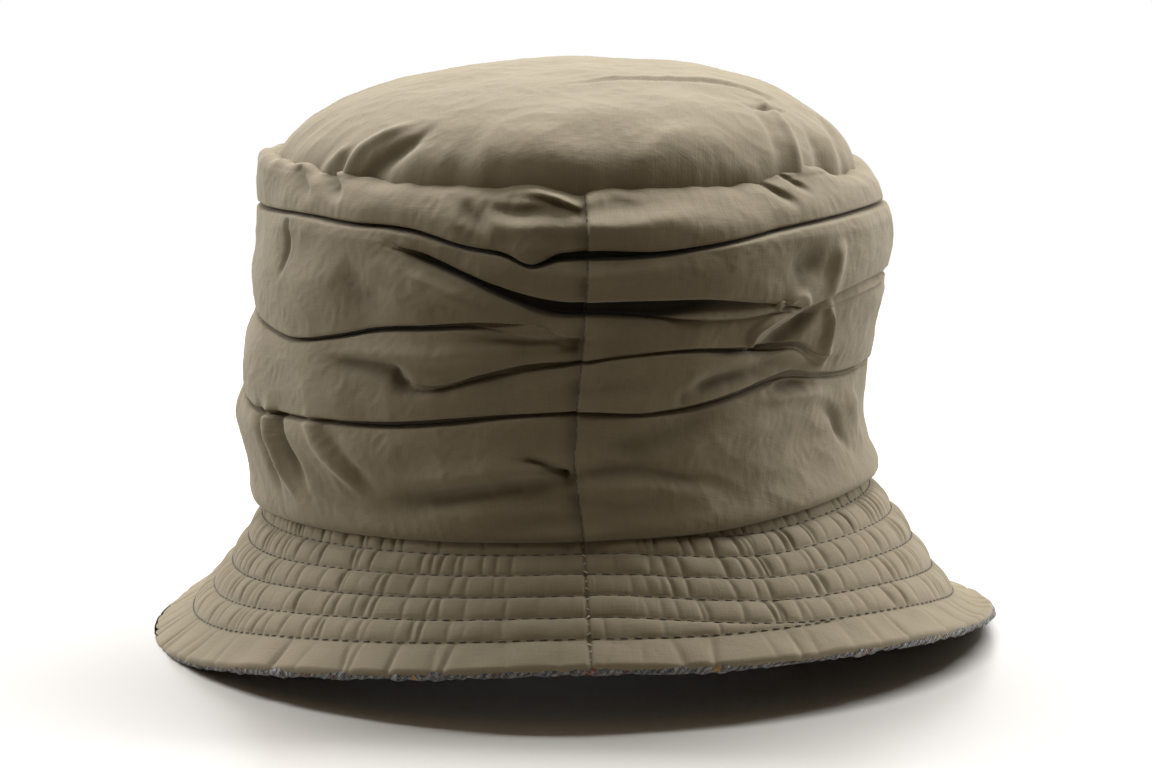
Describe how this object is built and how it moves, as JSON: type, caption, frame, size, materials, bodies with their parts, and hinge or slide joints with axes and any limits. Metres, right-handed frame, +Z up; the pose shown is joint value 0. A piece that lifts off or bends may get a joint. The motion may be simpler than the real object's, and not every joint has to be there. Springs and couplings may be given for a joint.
{
  "type": "bucket hat",
  "caption": "Soft bucket hat with a ruched crown wall, a domed tip and a quilted, padded brim that flares down and is lined in checked tweed.",
  "frame": {"origin": "on the surface that the hat stands on, below the middle of the crown", "axes": "+Z up, +X from ear to ear, +Y towards the back of the hat, so the front looks along -Y"},
  "size_m": [0.2466, 0.291, 0.1682],
  "materials": {
    "crown_cotton": "plain-woven cotton with a dry waxed finish, olive grey",
    "lining_cotton": "thin plain-woven lining",
    "stay_interlining": "non-woven stiffening",
    "sweatband_grosgrain": "ribbed ribbon",
    "brim_wadding": "fluffy wadding",
    "checked_tweed": "brushed wool tweed, blue grey with rust and mustard checks",
    "sewing_thread": "spun polyester thread"
  },
  "bodies": {
    "root": {"tip": "crown_cotton", "tip_lining": "lining_cotton", "wall_left": "crown_cotton", "wall_right": "crown_cotton", "wall_stay": "stay_interlining", "lining_left": "lining_cotton", "lining_right": "lining_cotton", "sweatband": "sweatband_grosgrain", "sweatband_stitch": "sewing_thread", "brim_top_left": "crown_cotton", "brim_top_right": "crown_cotton", "brim_wadding_left": "brim_wadding", "brim_wadding_right": "brim_wadding", "brim_under_left": "checked_tweed", "brim_under_right": "checked_tweed", "brim_stitch_row_1": "sewing_thread", "brim_stitch_row_2": "sewing_thread", "brim_stitch_row_3": "sewing_thread", "brim_stitch_row_4": "sewing_thread", "brim_stitch_row_5": "sewing_thread", "wall_front_seam": "sewing_thread", "wall_back_seam": "sewing_thread", "brim_front_seam": "sewing_thread", "brim_back_seam": "sewing_thread"}
  },
  "joints": []
}
